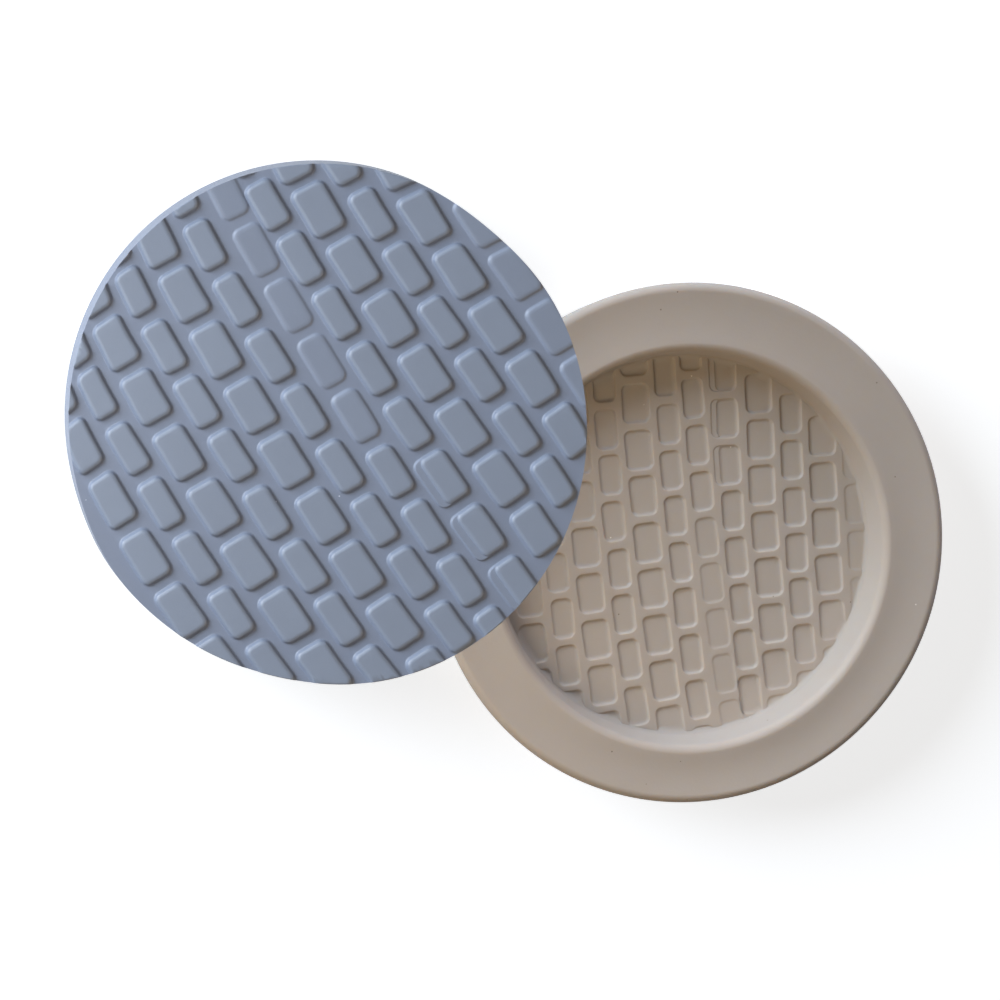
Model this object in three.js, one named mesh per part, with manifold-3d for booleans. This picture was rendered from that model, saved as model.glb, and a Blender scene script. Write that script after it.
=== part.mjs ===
// Round silicone mould for cobbled plates, with one casting of the pattern leaning on its rim.
// Millimetres, +Z up. The origin is the centre of the mould's base, on the table.

import * as THREE from 'three';
import { mergeVertices } from 'three/addons/utils/BufferGeometryUtils.js';
import Module from 'manifold-3d';

// Cavity of the mould
const cavityFloorDiameter = 60; // flat part, inside the rounded corner
const cavityDepth = 6.5; // from the lip down to the joints between the cobbles
const cavityWallLean = 0.7; // how far the wall leans out on its way up, so that a casting comes free
const cavityCornerRadius = 0.7; // between floor and wall
const cavityLipRadius = 1.4; // where the wall rolls over into the rim
const cavityOffsetX = 0.12; // the cavity sits a little off the middle, as poured by hand
const cavityOffsetY = -0.77;

// Body of the mould
const rimWidth = 7.5; // ring on top
const rimRise = 0.75; // the rim climbs by this much from the lip to its outer edge
const rimEdgeRadius = 1.2; // soft outer edge of the rim
const bodyLean = 1.0; // the outside narrows by this much from the rim down to the base
const baseThickness = 2.4; // silicone left under the deepest cobble
const baseEdgeRadius = 0.5;

// Cobbles, as they lie on the cavity's floor
const wideCobbleWidth = 4.21;
const narrowCobbleWidth = 3.37;
const cobbleLength = 6.22;
const cobbleJointWidth = 1.265;
const cobbleCornerRadius = 0.85;
const cobbleHeight = 0.65;
const cobbleSideLean = 0.28; // how far the sides of a cobble lean in
const columnOffset = -0.52; // the sixth column's distance from the middle
const courseOffset = 1.55; // top of the sixth column's cobble that lies next below the middle
const columnLean = -0.034; // millimetres across for each one down
const rightFan = 0.04; // the right-hand columns fan out by this much more
const fanWidth = 18; // distance from the middle at which the fan is full
const wornLean = -0.02; // the worn column leans away from the one with the ledge
const bendDistance = 25; // from the middle out to where the next two are measured
const columnBow = 0.5; // the columns' ends bend across by this much
const columnSlip = 0.5; // the outer columns have slipped along by this much
const ledgeWidth = 0.8; // a second, lower outline along one column
const ledgeShare = 0.45; // share of a cobble's height
const wornShare = 0.25; // share of a cobble's height that is left where one column is worn
const shallowShare = 0.55; // share of a cobble's height in the shallow last column
const edgeMargin = 0.8; // the outermost cobbles stop this far inside the wall

// Casting
const castEnlargement = 1.341; // size of the casting against the cavity; 1 is the casting that fits it
const castShrinkage = 0.005; // share by which a casting shrinks as it sets
const castThickness = 4.1; // poured depth at the cavity's own size, without the cobbles
const castTrim = 0.55; // sanded off its side, on average all round, at the cavity's own size
const castMiddleX = 0.555; // where the sanded outline's middle lies in the pattern
const castMiddleY = 0.324;
const castOval = 0.0136; // share of the radius by which the outline is longer one way, shorter the other
const castOvalTurn = 94; // degrees from the pattern's +X
const castDrawn = 0.023; // share by which the pattern was drawn out while the casting was soft
const castDrawnTurn = -59; // degrees from the pattern's +X
const castReach = 20.0; // length of the casting's back that lies past the rim's edge
const castDirection = 161.1; // degrees from +X towards +Y, seen from above
const restGap = 0.3; // between the casting's back and the rim

// How the pattern is turned, in degrees
const mouldPatternTurn = 4.3;
const castPatternTurn = 32.9;

// Facets
const roundSegments = 96;
const filletSegments = 3;
const cornerDivisions = 1; // an arc in an outline gets two segments for each

// Lengths that follow from the ones above
const floorRadius = cavityFloorDiameter / 2;
const wallFootRadius = floorRadius + cavityCornerRadius;
const wallTopRadius = wallFootRadius + cavityWallLean;
const lipOuterRadius = wallTopRadius + cavityLipRadius;
const mouldRadius = lipOuterRadius + rimWidth + rimEdgeRadius;
const jointLevel = baseThickness + cobbleHeight;
const lipLevel = jointLevel + cavityDepth;
const mouldHeight = lipLevel + rimRise;
const coursePitch = cobbleLength + cobbleJointWidth;
const wallLeanPerDepth = cavityWallLean / (cavityDepth - cavityLipRadius);
const castSize = castEnlargement * (1 - castShrinkage);
const castFootRadius = wallFootRadius - castTrim;
const castBackRadius = castSize * (castFootRadius + wallLeanPerDepth * castThickness);

const wasm = await Module();
wasm.setup();

// A closed three.js geometry as a solid that can be joined and cut
function solidFrom(geometry) {
  const bare = geometry.clone();
  bare.deleteAttribute('normal');
  bare.deleteAttribute('uv');
  const merged = mergeVertices(bare, 1e-4);
  return new wasm.Manifold(new wasm.Mesh({
    numProp: 3,
    vertProperties: new Float32Array(merged.attributes.position.array),
    triVerts: new Uint32Array(merged.index.array),
  }));
}

// A solid back as a geometry with flat facets
function geometryFrom(solid) {
  const mesh = solid.getMesh();
  const indexed = new THREE.BufferGeometry();
  indexed.setAttribute('position', new THREE.BufferAttribute(new Float32Array(mesh.vertProperties), 3));
  indexed.setIndex(new THREE.BufferAttribute(new Uint32Array(mesh.triVerts), 1));
  const faceted = indexed.toNonIndexed();
  faceted.computeVertexNormals();
  return faceted;
}

// Points of an arc in a profile, where x is the radius and y the height
function arc(x, y, radius, fromDegrees, toDegrees) {
  const points = [];
  for (let step = 0; step <= filletSegments; step += 1) {
    const share = step / filletSegments;
    const angle = THREE.MathUtils.degToRad(THREE.MathUtils.lerp(fromDegrees, toDegrees, share));
    points.push(new THREE.Vector2(x + radius * Math.cos(angle), y + radius * Math.sin(angle)));
  }
  return points;
}

// A profile that starts and ends on the axis, spun about Z
function spun(points) {
  return new THREE.LatheGeometry(points, roundSegments).rotateX(Math.PI / 2);
}

// Kinds of cobble, one letter for each column from left to right:
// w wide, n narrow, f narrow and worn at one end, d narrow with a ledge beside it, s wide and shallow
const columns = [...'wnwnwnfdwnws'];
const widthOf = { w: wideCobbleWidth, n: narrowCobbleWidth, f: narrowCobbleWidth,
  d: narrowCobbleWidth, s: wideCobbleWidth };
const anchorColumn = 5;

// Middle of a column, counted from the sixth one outwards
function columnCentre(index) {
  const step = Math.sign(index - anchorColumn);
  let centre = columnOffset;
  for (let at = anchorColumn; at !== index; at += step) {
    const halfWidths = (widthOf[columns[at]] + widthOf[columns[at + step]]) / 2;
    centre += step * (halfWidths + cobbleJointWidth);
  }
  return centre;
}

// How far a column leans to the right on its way down
function columnSlope(kind, across) {
  const fan = rightFan * THREE.MathUtils.clamp(across / fanWidth, 0, 1);
  return columnLean + fan + (kind === 'f' ? wornLean : 0);
}

// Share of the full height that a cobble has; the worn column goes from worn to whole
function heightShare(kind, down) {
  if (kind === 's') return shallowShare;
  if (kind !== 'f') return 1;
  const whole = THREE.MathUtils.smoothstep(down, -0.15 * floorRadius, 0.35 * floorRadius);
  return THREE.MathUtils.lerp(wornShare, 1, whole);
}

function roundedRectangle(width, length) {
  const right = width / 2 - cobbleCornerRadius;
  const top = length / 2 - cobbleCornerRadius;
  const quarter = Math.PI / 2;
  const outline = new THREE.Shape();
  outline.absarc(right, top, cobbleCornerRadius, 0, quarter);
  outline.absarc(-right, top, cobbleCornerRadius, quarter, 2 * quarter);
  outline.absarc(-right, -top, cobbleCornerRadius, 2 * quarter, 3 * quarter);
  outline.absarc(right, -top, cobbleCornerRadius, 3 * quarter, 4 * quarter);
  return outline;
}

// One cobble that rises from z = 0 with leaning sides, and roots below it for the join
function cobble(width, height) {
  const root = cobbleHeight / 2;
  const geometry = new THREE.ExtrudeGeometry(roundedRectangle(width, cobbleLength), {
    depth: root,
    bevelEnabled: true,
    bevelSegments: 1,
    bevelThickness: height,
    bevelSize: cobbleSideLean,
    bevelOffset: -cobbleSideLean,
    curveSegments: cornerDivisions,
  });
  return geometry.translate(0, 0, -root);
}

// All cobbles of the pattern, cut off at a round edge and moved so that its middle is at the origin
function cobbles(edgeRadius, middleX = 0, middleY = 0) {
  const solids = [];
  columns.forEach((kind, index) => {
    const across = columnCentre(index);
    const slope = columnSlope(kind, across);
    const offbeat = Math.abs(index - anchorColumn) % 2 * coursePitch / 2;
    const phase = courseOffset + cobbleLength / 2 + offbeat - columnSlip * (across / bendDistance) ** 3;
    const reach = Math.ceil(2 * floorRadius / coursePitch);
    for (let course = -reach; course <= reach; course += 1) {
      const down = phase + course * coursePitch;
      const spread = across + slope * down + columnBow * (down / bendDistance) ** 2;
      if (Math.hypot(spread, down) > floorRadius + cobbleLength / 2) continue;
      const lean = Math.atan(slope + 2 * columnBow * down / bendDistance ** 2);
      const width = widthOf[kind];
      const height = cobbleHeight * heightShare(kind, down);
      const place = (geometry, aside) => geometry.rotateZ(lean).translate(spread + aside, -down, 0);
      solids.push(solidFrom(place(cobble(width, height), 0)));
      if (kind === 'd' && down > floorRadius / 4) {
        solids.push(solidFrom(place(cobble(width, cobbleHeight * ledgeShare), -ledgeWidth)));
      }
    }
  });
  const edge = spun([
    new THREE.Vector2(0, -2 * cobbleHeight),
    new THREE.Vector2(edgeRadius, -2 * cobbleHeight),
    new THREE.Vector2(edgeRadius, 0),
    new THREE.Vector2(edgeRadius - cobbleSideLean, 1.1 * cobbleHeight),
    new THREE.Vector2(0, 1.1 * cobbleHeight),
  ]);
  return wasm.Manifold.union(solids).translate(-middleX, -middleY, 0).intersect(solidFrom(edge));
}

// A solid drawn out by a share of its size in one direction and drawn in across it
function drawnOut(solid, share, degrees) {
  return solid.rotate(0, 0, -degrees).scale([1 + share, 1 - share, 1]).rotate(0, 0, degrees);
}

// Profile of a round plate with its joints at z = 0, face up; side holds its points from the wall's
// foot down to the back
function plateProfile(footRadius, side) {
  const flatRadius = footRadius - cavityCornerRadius;
  const corner = arc(flatRadius, -cavityCornerRadius, cavityCornerRadius, 0, 90);
  const back = side[side.length - 1].y;
  return [new THREE.Vector2(0, back), ...side.slice().reverse(), ...corner, new THREE.Vector2(0, 0)];
}

// What the cavity takes out of the mould: a plate turned face down, flaring out at the lip
function cavityCutter() {
  const side = arc(lipOuterRadius, -(cavityDepth - cavityLipRadius), cavityLipRadius, 180, 270);
  side.push(new THREE.Vector2(lipOuterRadius, -(cavityDepth + cavityLipRadius)));
  const plug = solidFrom(spun(plateProfile(wallFootRadius, side)));
  return plug.add(cobbles(wallFootRadius - edgeMargin));
}

function mouldGeometry() {
  const body = spun([
    new THREE.Vector2(0, 0),
    ...arc(mouldRadius - bodyLean - baseEdgeRadius, baseEdgeRadius, baseEdgeRadius, -90, 0),
    ...arc(mouldRadius - rimEdgeRadius, mouldHeight - rimEdgeRadius, rimEdgeRadius, 0, 90),
    new THREE.Vector2(lipOuterRadius + rimWidth / 2, lipLevel + rimRise / 4),
    new THREE.Vector2(lipOuterRadius, lipLevel),
    new THREE.Vector2(0, lipLevel),
  ]);
  const turned = new THREE.Matrix4().makeRotationZ(THREE.MathUtils.degToRad(mouldPatternTurn));
  turned.multiply(new THREE.Matrix4().makeRotationX(Math.PI));
  turned.setPosition(cavityOffsetX, cavityOffsetY, jointLevel);
  const cutter = cavityCutter().transform(turned.elements);
  return geometryFrom(solidFrom(body).subtract(cutter));
}

// The casting stands on its back edge at z = 0, its face up
function castGeometry() {
  const back = new THREE.Vector2(castBackRadius / castSize, -castThickness);
  const plate = solidFrom(spun(plateProfile(castFootRadius, [back])));
  const face = cobbles(castFootRadius - edgeMargin, castMiddleX, castMiddleY);
  const whole = drawnOut(plate, castOval, castOvalTurn).add(drawnOut(face, castDrawn, castDrawnTurn));
  return geometryFrom(whole).translate(0, 0, castThickness).scale(castSize, castSize, castSize);
}

function mould() {
  const silicone = new THREE.MeshStandardMaterial({ color: '#b5a698', roughness: 0.6, metalness: 0 });
  const mesh = new THREE.Mesh(mouldGeometry(), silicone);
  mesh.name = 'silicone_mould';
  return mesh;
}

// The casting leans on the rim's rounded edge, with its low edge on the table
function cast() {
  const resin = new THREE.MeshStandardMaterial({ color: '#8793b4', roughness: 0.65, metalness: 0 });
  const mesh = new THREE.Mesh(castGeometry(), resin);
  mesh.name = 'cast_plate';

  const offAxis = THREE.MathUtils.degToRad(castDirection - castPatternTurn - castOvalTurn);
  const drawnTo = Math.hypot((1 + castOval) * Math.cos(offAxis), (1 - castOval) * Math.sin(offAxis));
  const backRadius = castBackRadius * drawnTo;
  const offEdge = rimEdgeRadius + restGap;
  const alongBack = 2 * backRadius - castReach;
  const edgeCentreHeight = mouldHeight - rimEdgeRadius;
  const tilt = Math.atan2(offEdge, alongBack)
    + Math.asin(edgeCentreHeight / Math.hypot(alongBack, offEdge));
  const lowEdge = mouldRadius - rimEdgeRadius + alongBack * Math.cos(tilt) + offEdge * Math.sin(tilt);
  const direction = THREE.MathUtils.degToRad(castDirection);

  mesh.rotation.z = THREE.MathUtils.degToRad(castPatternTurn) - direction;
  const leaning = new THREE.Group();
  leaning.rotation.y = tilt;
  leaning.position.set(lowEdge - backRadius * Math.cos(tilt), 0, backRadius * Math.sin(tilt));
  leaning.add(mesh);
  const around = new THREE.Group();
  around.rotation.z = direction;
  around.add(leaning);
  return around;
}

const model = new THREE.Group();
model.add(mould(), cast());
model.updateMatrixWorld(true);

export default model;
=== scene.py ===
# %% [markdown]
# # A silicone mould and its casting
#
# A round mould of poured silicone lies on a table, and a casting with the pattern of its floor leans
# on its rim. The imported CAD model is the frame: it says how large everything is and where it stands.
# This scene adds what handwork leaves on such a pair: soft edges, slightly uneven cobbles and matte
# surfaces with a little dust.

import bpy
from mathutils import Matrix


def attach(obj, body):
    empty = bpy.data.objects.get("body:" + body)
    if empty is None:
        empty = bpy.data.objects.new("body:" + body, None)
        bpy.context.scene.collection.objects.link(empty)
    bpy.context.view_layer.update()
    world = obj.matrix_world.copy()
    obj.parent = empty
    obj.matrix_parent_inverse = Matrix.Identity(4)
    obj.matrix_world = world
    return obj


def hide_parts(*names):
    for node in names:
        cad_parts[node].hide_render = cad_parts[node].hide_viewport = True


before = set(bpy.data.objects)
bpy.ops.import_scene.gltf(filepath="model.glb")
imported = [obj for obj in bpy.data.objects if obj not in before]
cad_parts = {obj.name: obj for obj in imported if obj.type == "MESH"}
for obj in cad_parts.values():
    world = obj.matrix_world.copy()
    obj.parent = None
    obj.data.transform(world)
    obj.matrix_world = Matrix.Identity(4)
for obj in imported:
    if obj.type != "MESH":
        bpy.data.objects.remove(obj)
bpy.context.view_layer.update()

# %% The modules used below
import math
import random
from collections import namedtuple

import bmesh
import bpy
from mathutils import Matrix, Vector, noise

# %% [markdown]
# ## The cobbled sheet
#
# The mould's floor and the casting's face are the same pattern, once sunk and once raised, because one
# is poured on the other. So the pattern is made once, face up, as a sheet of raised cobbles. It could
# be sculpted or displaced from a picture, but a cobble made by a few insets of a rounded rectangle
# keeps crisp control of its soft sides with few faces. Lengths are in millimetres here, as measured on
# the object, and become metres at the very end.

# %% Sizes of the pattern, in millimetres
FLOOR_RADIUS = 30.0
WIDE, NARROW = 4.21, 3.37
COBBLE_LENGTH = 6.22
COBBLE_HEIGHT = 0.57
JOINT = 1.265
PITCH = COBBLE_LENGTH + JOINT
print("one course every", PITCH, "mm")

# %% [markdown]
# The cobbles stand in columns, and every other column is half a course lower. The columns lean, fan out
# and bow a little, since the first model was cut by hand. A grid with an array modifier would be too
# regular for that, so a loop works out each cobble's place. Three columns differ: one is worn flat at
# its upper end, one has a second outline, and the last one is shallow.

# %% Where the columns run
# w wide, n narrow, f narrow and worn at one end, d narrow with a ledge beside it, s wide and shallow
COLUMNS = "wnwnwnfdwnws"
ANCHOR = 5  # the column from which the others are counted
ANCHOR_ACROSS, ANCHOR_DOWN = -0.52, 1.55  # from the floor's middle to the anchor column's next cobble
COLUMN_LEAN = -0.034  # millimetres across for each one down
RIGHT_FAN, FAN_WIDTH = 0.04, 18.0  # the right-hand columns fan out by this much more
WORN_LEAN = -0.02  # the worn column leans away from the one with the ledge
BEND_DISTANCE = 25  # from the middle out to where the next two are measured
SLIP = 0.5  # how far the outer columns have slipped along
BOW = 0.5  # how far the columns' ends bend across


def width_of(kind):
    return WIDE if kind in "ws" else NARROW


def column_middle(index):
    step = 1 if index > ANCHOR else -1
    middle = ANCHOR_ACROSS
    for at in range(ANCHOR, index, step):
        middle += step * ((width_of(COLUMNS[at]) + width_of(COLUMNS[at + step])) / 2 + JOINT)
    return middle


def soft_step(value, low, high):
    share = min(max((value - low) / (high - low), 0), 1)
    return share * share * (3 - 2 * share)


def column_slope(kind, across):
    fan = RIGHT_FAN * min(max(across / FAN_WIDTH, 0), 1)
    return COLUMN_LEAN + fan + (WORN_LEAN if kind == "f" else 0)


print("columns at", [round(column_middle(index), 1) for index in range(len(COLUMNS))], "mm")

# %% Where each cobble lies, and how much of its height it keeps
WORN_SHARE, SHALLOW_SHARE = 0.4, 0.55
WORN_END, WHOLE_FROM = -0.15 * FLOOR_RADIUS, 0.35 * FLOOR_RADIUS  # along the worn column
COURSES = 9  # this many up and down from the middle
LAID_RADIUS = FLOOR_RADIUS + 1.2 * COBBLE_LENGTH
LOWER_RIGHT, LOWER_RIGHT_RADIUS = 8, FLOOR_RADIUS + 0.36 * COBBLE_LENGTH  # no slivers of cobbles here
Cobble = namedtuple("Cobble", "kind across down turn share")


def height_share(kind, down):
    if kind == "s":
        return SHALLOW_SHARE
    if kind != "f":
        return 1
    return WORN_SHARE + (1 - WORN_SHARE) * soft_step(down, WORN_END, WHOLE_FROM)


cobbles = []
for index, kind in enumerate(COLUMNS):
    across = column_middle(index)
    slope = column_slope(kind, across)
    phase = ANCHOR_DOWN + COBBLE_LENGTH / 2 + abs(index - ANCHOR) % 2 * PITCH / 2
    phase -= SLIP * (across / BEND_DISTANCE) ** 3
    for course in range(-COURSES, COURSES + 1):
        down = phase + course * PITCH
        spread = across + slope * down + BOW * (down / BEND_DISTANCE) ** 2
        at_lower_right = min(spread, down) > LOWER_RIGHT
        if math.hypot(spread, down) < (LOWER_RIGHT_RADIUS if at_lower_right else LAID_RADIUS):
            turn = math.atan(slope + 2 * BOW * down / BEND_DISTANCE ** 2)
            cobbles.append(Cobble(kind, spread, down, turn, height_share(kind, down)))
print(len(cobbles), "cobbles")

# %% [markdown]
# A cobble starts as one flat face. Its corners are rounded, its straight edges get a few points, and
# then rings of insets lift the top along its side: a hollow foot, a steep part, a small shoulder and
# a broad crown, the way a pressed or poured cobble looks. A bevel of a box would be quicker, but it has
# one radius, and light shows the difference between foot and crown. One column has a second, lower
# outline on its left, where the pattern slipped as it was pressed: there the steep part pauses half
# way, while the rings slide aside.

# %% Rings that lift a face along a soft side
STEEP, GENTLE = math.radians(56), math.radians(36)
BENDS = {  # radius, slope at its start and at its end, rings
    "foot": (0.28, 0, STEEP, 4), "shoulder": (0.18, STEEP, GENTLE, 3), "crown": (0.8, GENTLE, 0, 4)}
LEDGE = ((0.03, 0.014), (0.09, 0.01), (0.5, 0.006), (0.12, 0.01), (0.06, 0.014))  # aside, up


def bend(radius, start, end, steps):
    angles = [start + (end - start) * step / steps for step in range(steps + 1)]
    return [(radius * abs(math.sin(b) - math.sin(a)), radius * abs(math.cos(a) - math.cos(b)), 0)
            for a, b in zip(angles, angles[1:])]


def side_rings(ledged):
    foot, shoulder, crown = (bend(*BENDS[part]) for part in BENDS)
    pause = [(up / math.tan(STEEP), up, aside) for aside, up in LEDGE] if ledged else []
    rise = (COBBLE_HEIGHT - sum(ring[1] for ring in foot + pause + shoulder + crown)) / 2
    steep = [(rise / math.tan(STEEP), rise, 0)]
    return foot + steep + pause + steep + shoulder + crown


print("a side is", round(sum(ring[0] for ring in side_rings(False)), 2), "mm wide")

# %% One cobble
COBBLE_CORNER = 0.96
FOOT = 0.29  # how far the hollow foot reaches into the joint
CORNER_RINGS, SIDE_CUTS = 6, 3
TOP_SHRINKS, TOP_INSET = (0.8, 0.55), 0.005  # rings that spread the crown's points over the top


def cobble_mesh(width, ledged=False):
    ledge = sum(aside for aside, up in LEDGE) if ledged else 0
    shape = bmesh.new()
    bmesh.ops.create_grid(shape, x_segments=1, y_segments=1, size=0.5)
    outer = (width + ledge + 2 * FOOT, COBBLE_LENGTH + 2 * FOOT, 1)
    bmesh.ops.scale(shape, vec=outer, verts=shape.verts)
    bmesh.ops.translate(shape, vec=(-ledge / 2, 0, 0), verts=shape.verts)
    bmesh.ops.bevel(
        shape, geom=list(shape.verts), offset=COBBLE_CORNER + FOOT, offset_type="OFFSET",
        segments=CORNER_RINGS, profile=0.5, affect="VERTICES", material=-1)
    straight = [edge for edge in shape.edges if edge.calc_length() > 1]
    bmesh.ops.subdivide_edges(shape, edges=straight, cuts=SIDE_CUTS)
    top = next(iter(shape.faces))
    for across, up, aside in side_rings(ledged):
        bmesh.ops.inset_individual(
            shape, faces=[top], thickness=across, depth=up, use_even_offset=True)
        if aside:
            left = min(vertex.co.x for vertex in top.verts)
            right = max(vertex.co.x for vertex in top.verts)
            bmesh.ops.scale(
                shape, vec=(1 - aside / (right - left), 1, 1), verts=top.verts,
                space=Matrix.Translation((-right, 0, 0)))
    middle = top.calc_center_bounds()
    for shrink in TOP_SHRINKS:
        bmesh.ops.inset_individual(shape, faces=[top], thickness=TOP_INSET, use_even_offset=True)
        bmesh.ops.scale(
            shape, vec=(shrink, shrink, 1), verts=top.verts, space=Matrix.Translation(-middle))
    bmesh.ops.poke(shape, faces=[top])
    mesh = bpy.data.meshes.new("cobble")
    shape.to_mesh(mesh)
    shape.free()
    return mesh


wide, narrow, ledged = cobble_mesh(WIDE), cobble_mesh(NARROW), cobble_mesh(NARROW, ledged=True)
print("faces in a wide, a narrow and a ledged cobble:", [len(m.polygons) for m in (wide, narrow, ledged)])

# %% [markdown]
# The cobbles are laid out with a small seeded scatter of place, turn and size, again because a hand cut
# the first model. Separate cobbles could simply sink into a plane, but the mould's skin has to be one
# closed surface. So one triangle fill joins their feet into the plane of the joints, and a fine noise
# field bends straight edges a little. The sheet then gets a thickness, because the cut that follows
# needs a closed solid.

# %% Lay the cobbles
LEDGE_FROM = FLOOR_RADIUS / 4  # the upper part of that column has no ledge
WIDTH_SCATTER, LENGTH_SCATTER = 0.02, 0.015  # shares
PLACE_SCATTER, TURN_SCATTER = 0.1, 0.9  # millimetres, degrees
SEED = 11
chance = random.Random(SEED)
sheet = bmesh.new()


def scatter(most):
    return chance.uniform(-most, most)


for cobble in cobbles:
    plain = wide if cobble.kind in "ws" else narrow
    before = len(sheet.verts)
    sheet.from_mesh(ledged if cobble.kind == "d" and cobble.down > LEDGE_FROM else plain)
    new = list(sheet.verts)[before:]
    size = (1 + scatter(WIDTH_SCATTER), 1 + scatter(LENGTH_SCATTER), cobble.share)
    spot = (cobble.across + scatter(PLACE_SCATTER), -cobble.down + scatter(PLACE_SCATTER), 0)
    turn = cobble.turn + math.radians(scatter(TURN_SCATTER))
    lie = Matrix.Translation(spot) @ Matrix.Rotation(turn, 4, "Z") @ Matrix.Diagonal((*size, 1))
    bmesh.ops.transform(sheet, matrix=lie, verts=new)
print("faces in the laid cobbles:", len(sheet.faces))

# %% Join them with the plane of the joints
SHEET_RADIUS = 46
bmesh.ops.create_circle(sheet, cap_ends=False, radius=SHEET_RADIUS, segments=96)
feet = [edge for edge in sheet.edges if len(edge.link_faces) < 2]
bmesh.ops.triangle_fill(sheet, edges=feet, use_beauty=True, use_dissolve=False, normal=(0, 0, 1))
bmesh.ops.recalc_face_normals(sheet, faces=sheet.faces)
if next(iter(sheet.faces)).normal.z < 0:
    bmesh.ops.reverse_faces(sheet, faces=sheet.faces)
print("open edges, which are the outer circle's:", sum(edge.is_boundary for edge in sheet.edges))

# %% Uneven by hand
WANDER, WANDER_SIZE = 0.1, 4.5  # aside
SWELL, SWELL_SIZE = 0.035, 5.5  # up and down
APART = Vector((0, 0, 7))  # so that the two noise fields don't match
noise.seed_set(SEED)  # noise_vector would differ from run to run without it
for vertex in sheet.verts:
    spot = Vector((vertex.co.x, vertex.co.y, 0))
    if spot.length < SHEET_RADIUS - 1:
        drift = noise.noise_vector(spot / WANDER_SIZE)
        vertex.co.x += WANDER * drift.x
        vertex.co.y += WANDER * drift.y
        vertex.co.z += SWELL * noise.noise(spot / SWELL_SIZE + APART)
heights = [vertex.co.z for vertex in sheet.verts]
print("the sheet's lowest and highest point, mm:", round(min(heights), 3), round(max(heights), 3))

# %% Give the sheet a thickness
SHEET_DEPTH = 12
rim = [edge for edge in sheet.edges if edge.is_boundary]
lowered = bmesh.ops.extrude_edge_only(sheet, edges=rim)["geom"]
bmesh.ops.translate(
    sheet, vec=(0, 0, -SHEET_DEPTH),
    verts=[part for part in lowered if isinstance(part, bmesh.types.BMVert)])
bmesh.ops.contextual_create(sheet, geom=[edge for edge in sheet.edges if edge.is_boundary])
bmesh.ops.recalc_face_normals(sheet, faces=sheet.faces)
sheet_mesh = bpy.data.meshes.new("cobbled_sheet")
sheet.to_mesh(sheet_mesh)
print("open edges of the closed sheet:", sum(edge.is_boundary for edge in sheet.edges))
sheet.free()

# %% [markdown]
# ## Cutting the sheet round
#
# A round blank is spun from a profile and keeps only what it shares with the sheet. Cobbles could be left
# out where they cross the edge, but on the real pair the edge cuts through them. The blank's upper
# corner is a quarter circle, so the cobbles that it cuts get a rounded end instead of a knife edge. Two
# blanks are needed: a deep one that flares at the lip for the cavity, and a thin one for the casting.

# %% Spin a profile into a solid
SPIN_STEPS = 192
print("a spin's step at the floor's edge:", round(math.tau * FLOOR_RADIUS / SPIN_STEPS, 2), "mm")


def spun(profile):
    solid = bmesh.new()
    points = [solid.verts.new((radius, 0, height)) for radius, height in profile]
    lines = [solid.edges.new(pair) for pair in zip(points, points[1:])]
    bmesh.ops.spin(
        solid, geom=points + lines, axis=(0, 0, 1), cent=(0, 0, 0), angle=2 * math.pi,
        steps=SPIN_STEPS, use_merge=True)
    bmesh.ops.remove_doubles(solid, verts=solid.verts, dist=0.0001)
    return solid


def arc(middle, radius, start, end, steps):
    angles = [math.radians(start + (end - start) * step / steps) for step in range(steps + 1)]
    return [(middle[0] + radius * math.cos(a), middle[1] + radius * math.sin(a)) for a in angles]


# %% Keep what blank and sheet share
sheet_object = bpy.data.objects.new("cobbled_sheet", sheet_mesh)
bpy.context.scene.collection.objects.link(sheet_object)


def cut_from_sheet(profile, middle=(0, 0)):
    solid = spun(profile)
    there, back_again = (Vector((side * middle[0], side * middle[1], 0)) for side in (1, -1))
    bmesh.ops.translate(solid, vec=there, verts=solid.verts)
    bmesh.ops.recalc_face_normals(solid, faces=solid.faces)
    blank_mesh = bpy.data.meshes.new("blank")
    solid.to_mesh(blank_mesh)
    blank = bpy.data.objects.new("blank", blank_mesh)
    bpy.context.scene.collection.objects.link(blank)
    cut = blank.modifiers.new("cobbles", "BOOLEAN")
    cut.operation, cut.solver, cut.object = "INTERSECT", "MANIFOLD", sheet_object
    shown = blank.evaluated_get(bpy.context.evaluated_depsgraph_get())
    solid.clear()
    solid.from_mesh(shown.data)
    bpy.data.objects.remove(blank)
    bmesh.ops.remove_doubles(solid, verts=solid.verts, dist=0.0005)
    bmesh.ops.translate(solid, vec=back_again, verts=solid.verts)
    return solid


# %% The cavity, face up, its sizes in millimetres
FLOOR_MARGIN, WALL_LEAN = 0.7, 0.7
WALL_FOOT = FLOOR_RADIUS + FLOOR_MARGIN
WALL_TOP = WALL_FOOT + WALL_LEAN
LIP_RADIUS = 1.4
LIP_OUTER = WALL_TOP + LIP_RADIUS
CAVITY_DEPTH = 7.05
CAVITY_ROUNDING = 1.7
BLANK_CLEAR, BLANK_CROWN = 0.05, 0.6  # how far a blank's edge and its middle stay above the cobbles


def blank_face(foot, rounding):
    height = COBBLE_HEIGHT + BLANK_CLEAR
    return [(0, height + BLANK_CROWN), *arc((foot - rounding, height - rounding), rounding, 90, 0, 6)]


cavity = cut_from_sheet([
    *blank_face(WALL_FOOT, CAVITY_ROUNDING),
    *arc((LIP_OUTER, LIP_RADIUS - CAVITY_DEPTH), LIP_RADIUS, 180, 270, 8),
    (0, -CAVITY_DEPTH)])
print("cavity:", len(cavity.faces), "faces, open edges:", sum(e.is_boundary for e in cavity.edges))
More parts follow.
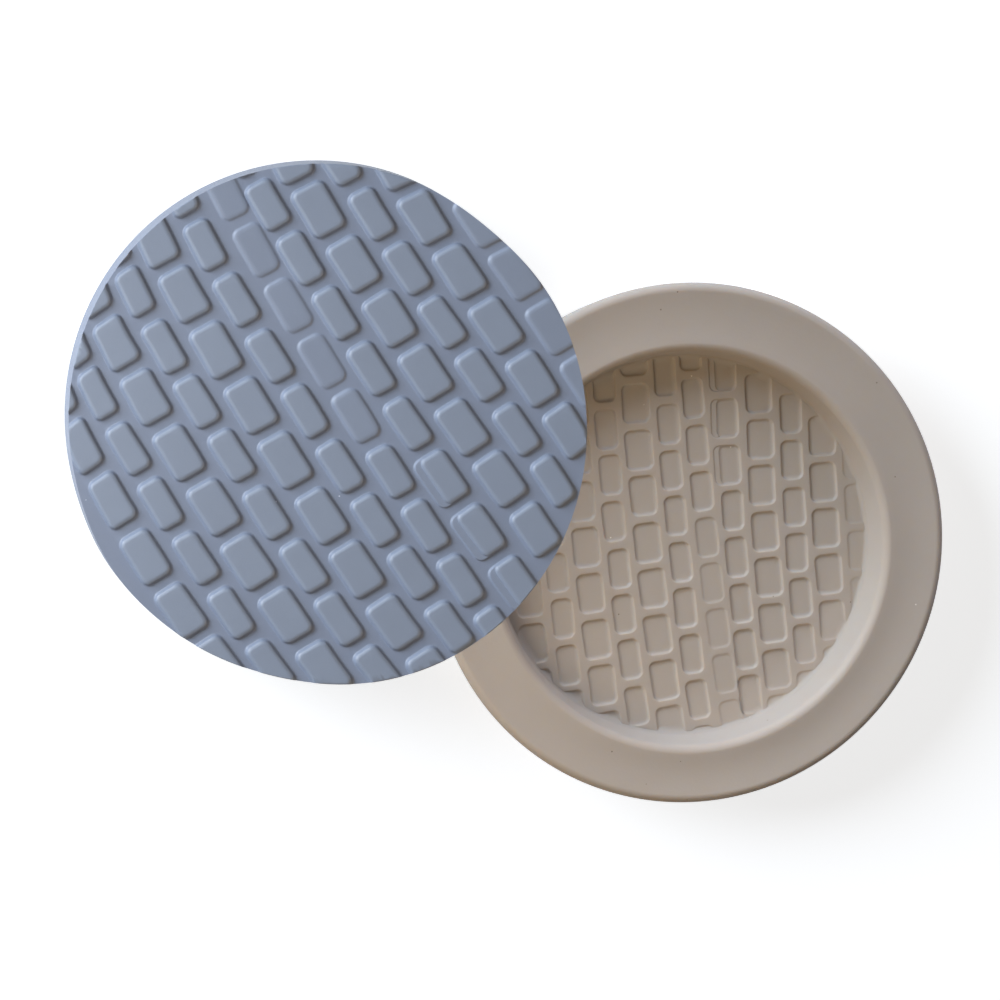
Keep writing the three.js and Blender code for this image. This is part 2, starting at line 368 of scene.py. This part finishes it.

# %% [markdown]
# The joints have another tint than the cobbles, and on the casting a darker value that is painted
# shade between the cobbles, so each point keeps its height in the pattern as an attribute that the
# materials can read. A colour ramp on the height in space would fail on the casting, which leans. The
# mould's own cobbles are shallower than the casting's and fade towards the lower right, as they do in
# the photograph.

# %% Keep each point's height, and fade the pattern at the cavity's lower right
def mark_relief(shape):
    relief = shape.verts.layers.float.new("relief")
    for vertex in shape.verts:
        vertex[relief] = min(max(vertex.co.z / COBBLE_HEIGHT, 0), 1)


SHALLOWER = 0.66  # the mould's cobbles are this share as deep as the casting's are high
FADE, FADE_TURN = 0.65, math.radians(25)
FADE_FROM, FADE_TO = 25, 30.5
mark_relief(cavity)
for vertex in cavity.verts:
    if vertex.co.z > 0:
        radius = math.hypot(vertex.co.x, vertex.co.y)
        towards = math.cos(math.atan2(vertex.co.y, vertex.co.x) - FADE_TURN)
        fade = FADE * soft_step(radius, FADE_FROM, FADE_TO) * max(towards, 0)
        vertex.co.z *= SHALLOWER * (1 - fade)
print("the cavity's cobbles are", round(SHALLOWER * COBBLE_HEIGHT, 2), "mm deep")

# %% [markdown]
# ## The mould
#
# The cavity's solid, turned over and without its back, is the inner surface of the mould. The outer
# skin is spun from the lip outwards: a rim that climbs a little to its outer edge and sags between,
# because silicone creeps up the walls of its box as it cures, a rounded edge, a side that leans in
# and a flat base. A Boolean that cuts the cavity out of a disc would do it too, but it would leave thin
# slivers along the lip. Here the two meet point by point, so that the mould is one closed skin, as the
# real one is one pouring.

# %% Sizes of the mould's body, in millimetres
BASE_THICKNESS, DEEPEST_COBBLE = 2.4, 0.65
JOINT_LEVEL = BASE_THICKNESS + DEEPEST_COBBLE
LIP_LEVEL = JOINT_LEVEL + CAVITY_DEPTH
RIM_RISE, RIM_SAG = 0.2, 0.18  # the rim climbs from the lip to its outer edge, and sags between
MOULD_HEIGHT = LIP_LEVEL + RIM_RISE
RIM_WIDTH, RIM_EDGE = 7.5, 1.2
MOULD_RADIUS = LIP_OUTER + RIM_WIDTH + RIM_EDGE
BODY_LEAN = 1.0  # the side narrows by this much from the rim down to the base
BASE_EDGE = 0.5
MOULD_TURN = math.radians(4.3)
CAVITY_OFFSET = Vector((0.12, -0.77, 0))  # poured by hand, so the cavity isn't quite in the middle
print("mould, mm:", round(2 * MOULD_RADIUS, 1), "across,", round(MOULD_HEIGHT, 1), "high")

# %% The outer skin
RIM_POINTS = 8
rim_end = MOULD_RADIUS - RIM_EDGE
steepest = math.degrees(math.atan((2 * RIM_RISE + 4 * RIM_SAG) / (rim_end - LIP_OUTER)))
edge_line = arc((rim_end, MOULD_HEIGHT - RIM_EDGE), RIM_EDGE, 90 + steepest, 0, 7)
crest, crest_level = edge_line[0]
rim_line = []
for point in range(RIM_POINTS + 1):
    share = point / RIM_POINTS
    climb_here = (crest_level - LIP_LEVEL) * share ** 2 - 4 * RIM_SAG * share * (1 - share)
    rim_line.append((LIP_OUTER + (crest - LIP_OUTER) * share, LIP_LEVEL + climb_here))
foot_line = arc((MOULD_RADIUS - BODY_LEAN - BASE_EDGE, BASE_EDGE), BASE_EDGE, 0, -90, 4)
skin = spun([*rim_line, *edge_line[1:], *foot_line, (0, 0)])
bmesh.ops.rotate(skin, cent=(0, 0, 0), matrix=Matrix.Rotation(MOULD_TURN, 3, "Z"), verts=skin.verts)
print("the rim's outer edge starts", round(MOULD_HEIGHT - crest_level, 3), "mm under the top")

# %% Turn the cavity over and sew both together
NEAR = 0.001
back = [face for face in cavity.faces
        if all(abs(vertex.co.z + CAVITY_DEPTH) < NEAR for vertex in face.verts)]
bmesh.ops.delete(cavity, geom=back, context="FACES")
turned = (Matrix.Translation((0, 0, JOINT_LEVEL)) @ Matrix.Rotation(MOULD_TURN, 4, "Z")
          @ Matrix.Rotation(math.pi, 4, "X"))
bmesh.ops.transform(cavity, matrix=turned, verts=cavity.verts)
skin_mesh = bpy.data.meshes.new("skin")
skin.to_mesh(skin_mesh)
skin.free()
cavity.from_mesh(skin_mesh)
seam = [vertex for vertex in cavity.verts if vertex.is_boundary]
bmesh.ops.remove_doubles(cavity, verts=seam, dist=0.01)
bmesh.ops.recalc_face_normals(cavity, faces=cavity.faces)
print("mould:", len(cavity.faces), "faces, open edges:", sum(e.is_boundary for e in cavity.edges))

# %% [markdown]
# A finished piece goes from millimetres to metres and gets smooth shading, with sharp edges only where
# the surface really turns a corner. Weighted normals keep the flat parts flat beside their small
# roundings, which a subdivision modifier would do too, at four times the faces. The mould gets one last
# touch: its cavity slides off the middle and its upper side waves by a few hundredths.

# %% Turn a mesh into a named piece
SHARP_FROM = math.radians(40)


def finish_mesh(shape, name, matrix=Matrix.Identity(4)):
    bmesh.ops.transform(shape, matrix=Matrix.Scale(0.001, 4) @ matrix, verts=shape.verts)
    mesh = bpy.data.meshes.new(name)
    shape.to_mesh(mesh)
    shape.free()
    mesh.shade_smooth()
    mesh.set_sharp_from_angle(angle=SHARP_FROM)
    piece = bpy.data.objects.new(name, mesh)
    bpy.context.scene.collection.objects.link(piece)
    weights = piece.modifiers.new("even shading", "WEIGHTED_NORMAL")
    weights.keep_sharp = True
    print(name, "has", sum(len(face.vertices) - 2 for face in mesh.polygons), "triangles")
    return piece


# %% The mould, finished
WAVE, WAVE_SIZE = 0.06, 16
for vertex in cavity.verts:
    radius = math.hypot(vertex.co.x, vertex.co.y)
    vertex.co += CAVITY_OFFSET * (1 - soft_step(radius, LIP_OUTER, rim_end))
    if vertex.co.z > BASE_EDGE:
        vertex.co.z += WAVE * noise.noise(vertex.co / WAVE_SIZE) * vertex.co.z / MOULD_HEIGHT
mould = finish_mesh(cavity, "mould_body")

# %% [markdown]
# ## The casting
#
# The casting is cut from the same sheet, a little off its middle. It could be made as the cavity's own
# copy, but its edge was sanded by hand and crosses the cobbles at other places than the cavity's wall.
# The casting is larger than this cavity would give, as the frame has it, so the whole plate is scaled
# up before it is leant on the rim.

# %% Cut the casting, its sizes in millimetres
ENLARGED, SHRUNK = 1.341, 0.005
CAST_SIZE = ENLARGED * (1 - SHRUNK)
CAST_THICKNESS = 3.8
CAST_MIDDLE = (0.555, 0.324)
SANDED_OFF_CENTRE = 0.2
CAST_RADIUS = WALL_FOOT + SANDED_OFF_CENTRE
FACE_EDGE, BACK_EDGE = 0.3, 0.3
cast = cut_from_sheet([
    *blank_face(CAST_RADIUS, FACE_EDGE),
    *arc((CAST_RADIUS - BACK_EDGE, BACK_EDGE - CAST_THICKNESS), BACK_EDGE, 0, -90, 3),
    (0, -CAST_THICKNESS)], CAST_MIDDLE)
bmesh.ops.recalc_face_normals(cast, faces=cast.faces)
mark_relief(cast)
print("casting:", len(cast.faces), "faces, open edges:", sum(e.is_boundary for e in cast.edges))

# %% [markdown]
# Sanding has left the casting out of round: narrower one way, with two flatter stretches and a fuller
# one, and with a side that leans, because the back lies further to one side than the face. A lattice
# could bend it so. Here every point moves by a formula in its direction from the middle, which moves
# the edge and leaves the inner cobbles where they are. Then the whole plate is drawn out by a share, as
# it was while it was soft.

# %% Sanded and drawn out of round
SANDED, SANDED_TURN = 0.039, math.radians(45.5)  # share of the radius that two sides have lost
FLATS = ((0.015, 18.5, 15), (0.011, -136, 17), (-0.009, -178, 13))  # share, direction, half width
DRAWN, DRAWN_TURN = 0.023, math.radians(-59)
FACE_TRIM = 0.1  # millimetres that the face lost more than the back
FACE_ASIDE, BACK_ASIDE = Vector((0.26, -0.33, 0)), Vector((-0.13, 0.49, 0))
EDGE_ONLY = 6  # the higher this power, the closer to the edge the points move
for vertex in cast.verts:
    angle = math.atan2(vertex.co.y, vertex.co.x)
    loss = SANDED * math.sin(angle - SANDED_TURN) ** 2
    for depth, turn, span in FLATS:
        off = math.remainder(angle - math.radians(turn), math.tau)
        loss += depth * math.exp(-(off / math.radians(span)) ** 2)
    depth_share = min(max(-vertex.co.z / CAST_THICKNESS, 0), 1)
    loss += FACE_TRIM / CAST_RADIUS * (1 - depth_share)
    share = (math.hypot(vertex.co.x, vertex.co.y) / CAST_RADIUS) ** EDGE_ONLY
    vertex.co.x *= 1 - loss * share
    vertex.co.y *= 1 - loss * share
    vertex.co += FACE_ASIDE.lerp(BACK_ASIDE, depth_share) * share
drawn = (Matrix.Rotation(DRAWN_TURN, 4, "Z") @ Matrix.Diagonal((1 + DRAWN, 1 - DRAWN, 1, 1))
         @ Matrix.Rotation(-DRAWN_TURN, 4, "Z"))
bmesh.ops.transform(cast, matrix=drawn, verts=cast.verts)

# %% [markdown]
# The casting leans like a plate on the edge of a bowl: its low edge stands on the table and its back
# touches the rim's rounding. It could be posed by hand with an empty. Here the tilt follows from the
# sizes, so it still rests when one of them changes: one angle from the length of the back to the height
# of the rim, and one for the rounding and the gap.

# %% Lean it on the rim
REACH = 20.17  # millimetres of the casting's back that lie past the rim's edge
REST_GAP = 0.3
CAST_DIRECTION = math.radians(161.1)  # from the mould's middle, seen from above
CAST_TURN = math.radians(32.9)
outwards = Matrix.Rotation(CAST_DIRECTION - CAST_TURN, 3, "Z") @ Vector((1, 0, 0))
back_radius = CAST_SIZE * max(vertex.co.dot(outwards) for vertex in cast.verts)
print("from the casting's middle to its low edge:", round(back_radius, 2), "mm")
off_edge = RIM_EDGE + REST_GAP
along_back = 2 * back_radius - REACH
tilt = (math.atan2(off_edge, along_back)
        + math.asin((MOULD_HEIGHT - RIM_EDGE) / math.hypot(along_back, off_edge)))
low_edge = rim_end + along_back * math.cos(tilt) + off_edge * math.sin(tilt)
lean = (Matrix.Rotation(CAST_DIRECTION, 4, "Z")
        @ Matrix.Translation((low_edge - back_radius * math.cos(tilt), 0, back_radius * math.sin(tilt)))
        @ Matrix.Rotation(tilt, 4, "Y") @ Matrix.Rotation(CAST_TURN - CAST_DIRECTION, 4, "Z")
        @ Matrix.Scale(CAST_SIZE, 4) @ Matrix.Translation((0, 0, CAST_THICKNESS)))
casting = finish_mesh(cast, "casting", lean)
bpy.data.objects.remove(sheet_object)
print("the casting leans by", round(math.degrees(tilt), 1), "degrees")

# %% [markdown]
# Each piece now takes the place of its CAD node, which is hidden, and moves with that node's body as
# the child of an empty named for it.

# %% Tie the pieces to the frame
for piece, body, node, slot in (
        (mould, "mould", "silicone_mould", "silicone"),
        (casting, "cast", "cast_plate", "cast_resin")):
    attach(piece, body)
    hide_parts(node)

# %% [markdown]
# ## Finishes
#
# Both materials are matte and read the piece's own coordinates in metres, so a pattern of a given size
# in millimetres keeps that size everywhere. Image textures would need unwrapping and would stretch
# down the steep sides of the cobbles. Colours are written as they look on a screen, as hex values, and
# one function turns them to the linear values that light is reckoned in.

# %% Helpers for materials
def linear(colour):
    parts = [int(colour[at:at + 2], 16) / 255 for at in (1, 3, 5)]
    return (*[p / 12.92 if p <= 0.04045 else ((p + 0.055) / 1.055) ** 2.4 for p in parts], 1)


def add(tree, kind, inputs=None, **settings):
    node = tree.nodes.new(kind)
    for name, value in settings.items():
        setattr(node, name, value)
    for name, value in (inputs or {}).items():
        if isinstance(value, bpy.types.NodeSocket):
            tree.links.new(value, node.inputs[name])
        else:
            node.inputs[name].default_value = value
    return node


def per_mm(size):
    return 1000 / size


def new_material(name):
    material = bpy.data.materials.new(name)
    material.use_nodes = True
    material.node_tree.nodes.clear()
    return material, material.node_tree


print("hex #808080 is", round(linear("#808080")[0], 3), "in linear light")

# %% Specks, a few to each square centimetre
def specked(tree, place, colour, speck, spacing, size):
    cells = add(tree, "ShaderNodeTexVoronoi", {"Vector": place, "Scale": per_mm(spacing)})
    inside = add(tree, "ShaderNodeMath", {
        0: cells.outputs["Distance"], 1: size / spacing}, operation="LESS_THAN")
    return add(tree, "ShaderNodeMix", {
        0: inside.outputs[0], 6: colour, 7: linear(speck)}, data_type="RGBA").outputs[2]


# %% [markdown]
# The mould is tin-cured silicone rubber, poured and left as it came: matte, a little waxy because
# light enters it, and warm in its hollows. A plain diffuse colour would look like clay, so most of the
# light goes through subsurface scattering, red farthest. Broad cloudy patches come from the filler, and
# a few dark and pale specks stick to it, as they do to every silicone surface. Its real grain is finer
# than the render can show, so it is drawn at half a millimetre.

# %% Tin-cured silicone rubber
silicone, tree = new_material("tin_cured_silicone_beige")
place = add(tree, "ShaderNodeTexCoord").outputs["Object"]
clouds = add(tree, "ShaderNodeTexNoise", {
    "Vector": place, "Scale": per_mm(22), "Detail": 3, "Roughness": 0.5})
cloud_colour = add(tree, "ShaderNodeMix", {
    0: clouds.outputs["Fac"], 6: linear("#a0958c"), 7: linear("#a89c93")}, data_type="RGBA")
grain = add(tree, "ShaderNodeTexNoise", {
    "Vector": place, "Scale": per_mm(0.5), "Detail": 2, "Roughness": 0.6})
skin_bump = add(tree, "ShaderNodeBump", {
    "Height": grain.outputs["Fac"], "Strength": 0.12, "Distance": 0.0001})
dark_specks = specked(tree, place, cloud_colour.outputs[2], "#75685c", 5.0, 0.12)
pale_specks = specked(tree, place, dark_specks, "#d8d0c8", 7.0, 0.12)
surface = add(tree, "ShaderNodeBsdfPrincipled", {
    "Base Color": pale_specks, "Roughness": 0.6, "IOR": 1.41,
    "Subsurface Weight": 0.85, "Subsurface Radius": (1.0, 0.7, 0.45), "Subsurface Scale": 0.0016,
    "Normal": skin_bump.outputs["Normal"]})
add(tree, "ShaderNodeOutputMaterial", {"Surface": surface.outputs["BSDF"]})
mould.data.materials.append(silicone)
print(silicone.name, "has", len(tree.nodes), "nodes")

# %% [markdown]
# The casting is polyurethane resin with a blue-grey pigment, as it left the mould: matte, with a faint
# sheen on the edges that face the window, and with the cloudy look of settled pigment. The joints are
# a little bluer than the tops of the cobbles, which is their own tint, and a little darker, which is
# painted shade between the cobbles. They could be masked with a painted texture, but the height that
# each point kept does it without one. A little scattering softens the edges. The real grain is too
# fine to show, so it is drawn at 0.4 mm.

# %% Polyurethane casting resin
resin, tree = new_material("pigmented_casting_resin_matte")
place = add(tree, "ShaderNodeTexCoord").outputs["Object"]
clouds = add(tree, "ShaderNodeTexNoise", {
    "Vector": place, "Scale": per_mm(12), "Detail": 4, "Roughness": 0.55})
cloud_colour = add(tree, "ShaderNodeMix", {
    0: clouds.outputs["Fac"], 6: linear("#7f8898"), 7: linear("#858f9f")}, data_type="RGBA")
relief = add(tree, "ShaderNodeAttribute", attribute_name="relief")
# Joints: their own bluer tint, and a darker value that is painted shade between the cobbles
joint_tint_and_painted_shade = add(tree, "ShaderNodeMix", {
    0: relief.outputs["Fac"], 6: linear("#7c8597"), 7: cloud_colour.outputs[2]}, data_type="RGBA")
grain = add(tree, "ShaderNodeTexNoise", {
    "Vector": place, "Scale": per_mm(0.4), "Detail": 2, "Roughness": 0.6})
skin_bump = add(tree, "ShaderNodeBump", {
    "Height": grain.outputs["Fac"], "Strength": 0.12, "Distance": 0.0001})
specks = specked(tree, place, joint_tint_and_painted_shade.outputs[2], "#c3cad8", 7.0, 0.12)
surface = add(tree, "ShaderNodeBsdfPrincipled", {
    "Base Color": specks, "Roughness": 0.45, "IOR": 1.5,
    "Subsurface Weight": 0.25, "Subsurface Radius": (1.0, 0.9, 0.8), "Subsurface Scale": 0.0005,
    "Normal": skin_bump.outputs["Normal"]})
add(tree, "ShaderNodeOutputMaterial", {"Surface": surface.outputs["BSDF"]})
casting.data.materials.append(resin)
print(resin.name, "has", len(tree.nodes), "nodes")

# %% [markdown]
# ## Floor, light and camera
#
# The pair lies on a plain pale table before a white backdrop. Brighter lamps would make both white, but
# they would bleach the pieces. So the table and the world glow white only for rays that the camera
# sees, straight, mirrored or through glass, and the table still shows the shadows on it.

# %% A mask for rays that the camera sees
def seen_by_camera(tree):
    rays = add(tree, "ShaderNodeLightPath")
    straight_or_mirrored = add(tree, "ShaderNodeMath", {
        0: rays.outputs["Is Camera Ray"], 1: rays.outputs["Is Glossy Ray"]}, operation="MAXIMUM")
    return add(tree, "ShaderNodeMath", {
        0: straight_or_mirrored.outputs[0], 1: rays.outputs["Is Transmission Ray"]},
        operation="MAXIMUM").outputs[0]


# %% The table
TABLE_DROP = 0.0002  # metres under the mould's base
table_shape = bmesh.new()
bmesh.ops.create_grid(table_shape, x_segments=1, y_segments=1, size=3)
bmesh.ops.translate(table_shape, vec=(0, 0, -TABLE_DROP), verts=table_shape.verts)
table_mesh = bpy.data.meshes.new("table")
table_shape.to_mesh(table_mesh)
table_shape.free()
table = bpy.data.objects.new("table", table_mesh)
bpy.context.scene.collection.objects.link(table)
white, tree = new_material("painted_white_board")
paint = add(tree, "ShaderNodeBsdfDiffuse", {"Color": linear("#d9d9d9")})
glow = add(tree, "ShaderNodeEmission", {"Color": (1, 1, 1, 1), "Strength": 0.8})
lit = add(tree, "ShaderNodeAddShader", {0: paint.outputs[0], 1: glow.outputs[0]})
mixed = add(tree, "ShaderNodeMixShader", {
    0: seen_by_camera(tree), 1: paint.outputs[0], 2: lit.outputs[0]})
add(tree, "ShaderNodeOutputMaterial", {"Surface": mixed.outputs[0]})
table.data.materials.append(white)
print("the table's top is", 1000 * TABLE_DROP, "mm under the base")

# %% The world
world = bpy.data.worlds.new("studio")
world.use_nodes = True
bpy.context.scene.world = world
tree = world.node_tree
tree.nodes.clear()
fill = add(tree, "ShaderNodeBackground", {"Color": linear("#ffe4c2"), "Strength": 0.03})
backdrop = add(tree, "ShaderNodeBackground", {"Color": (1, 1, 1, 1), "Strength": 1})
mixed = add(tree, "ShaderNodeMixShader", {
    0: seen_by_camera(tree), 1: fill.outputs[0], 2: backdrop.outputs[0]})
add(tree, "ShaderNodeOutputWorld", {"Surface": mixed.outputs[0]})
print("the world has", len(tree.nodes), "nodes")

# %% [markdown]
# The photograph joins two pictures: the light falls differently on the mould and on the casting, and
# the casting throws no shadow on the mould. Two view layers could be lit apart and laid over each other.
# Light linking needs only one: each piece has its own lamps, with a large soft window, cool and low
# enough to model the cobbles, a small lamp near by, and a weaker light from another side.

# %% A round lamp that lights only some pieces
def soft_lamp(name, azimuth, elevation, distance, size, power, colour="#ffffff", lit=(), blocked_by=()):
    azimuth, elevation = math.radians(azimuth), math.radians(elevation)
    towards = Vector((math.cos(azimuth) * math.cos(elevation),
                      math.sin(azimuth) * math.cos(elevation), math.sin(elevation)))
    light = bpy.data.lights.new(name, "AREA")
    light.shape, light.size, light.energy = "DISK", size, power
    light.color = linear(colour)[:3]
    lamp = bpy.data.objects.new(name, light)
    bpy.context.scene.collection.objects.link(lamp)
    lamp.location = towards * distance
    lamp.rotation_euler = towards.to_track_quat("Z", "Y").to_euler()
    for use, pieces in (("receiver_collection", lit), ("blocker_collection", blocked_by)):
        if pieces:
            group = bpy.data.collections.new(name + "_" + use)
            for piece in pieces:
                group.objects.link(piece)
            setattr(lamp.light_linking, use, group)
    print(name, "lights", [piece.name for piece in lit])


# %% The lamps
WINDOW = {"distance": 2.5, "size": 2.0}
MOULD_ONLY = {"lit": (mould,), "blocked_by": (mould, table)}
soft_lamp("window_for_mould", 135, 23, power=106, colour="#d6ecff", **WINDOW, **MOULD_ONLY)
soft_lamp("window_side", 65, 23, power=36, colour="#f3f4ff", **WINDOW, **MOULD_ONLY)
soft_lamp("warm_lamp", 200, 50, 0.2, 0.15, 0.22, colour="#ffe7bd", **MOULD_ONLY)
soft_lamp("window_for_casting", 152, 17, power=101, colour="#e9f3ff", lit=(casting, table), **WINDOW)
soft_lamp("lamp_at_casting", 168, 30, 0.2, 0.1, 0.08, lit=(casting,))
soft_lamp("room_for_casting", -30, 38, 1.0, 1.0, 3.2, colour="#ffdcb0", lit=(casting,))

# %% [markdown]
# The camera looks down steeply, from a little to the left and behind the top of the picture. Its
# direction was worked out from how far the rim is shifted against the cavity's floor. A long lens keeps
# the two circles nearly round, as they are in the photograph.

# %% The camera, at the photograph's viewing angle
CAMERA_DISTANCE, CAMERA_LENS, SENSOR = 0.6, 137.7, 36
AIM = Vector((-0.03078, 0.00766, 0.0103))
TOWARDS_X, TOWARDS_Y = -0.1726, 0.0978  # shares of the direction from the aim to the camera
back = Vector((TOWARDS_X, TOWARDS_Y, math.sqrt(1 - TOWARDS_X ** 2 - TOWARDS_Y ** 2)))
up = (Vector((0, 1, 0)) - back * back.y).normalized()
right = up.cross(back)
camera_data = bpy.data.cameras.new("camera")
camera_data.lens, camera_data.sensor_width = CAMERA_LENS, SENSOR
camera_data.clip_start = 0.01
camera = bpy.data.objects.new("camera", camera_data)
bpy.context.scene.collection.objects.link(camera)
turned = Matrix((right, up, back)).transposed().to_4x4()
camera.matrix_world = Matrix.Translation(AIM + back * CAMERA_DISTANCE) @ turned
bpy.context.scene.camera = camera
bpy.context.scene.view_settings.view_transform = "Standard"
print("the camera looks down at", round(math.degrees(math.asin(back.z)), 1), "degrees")
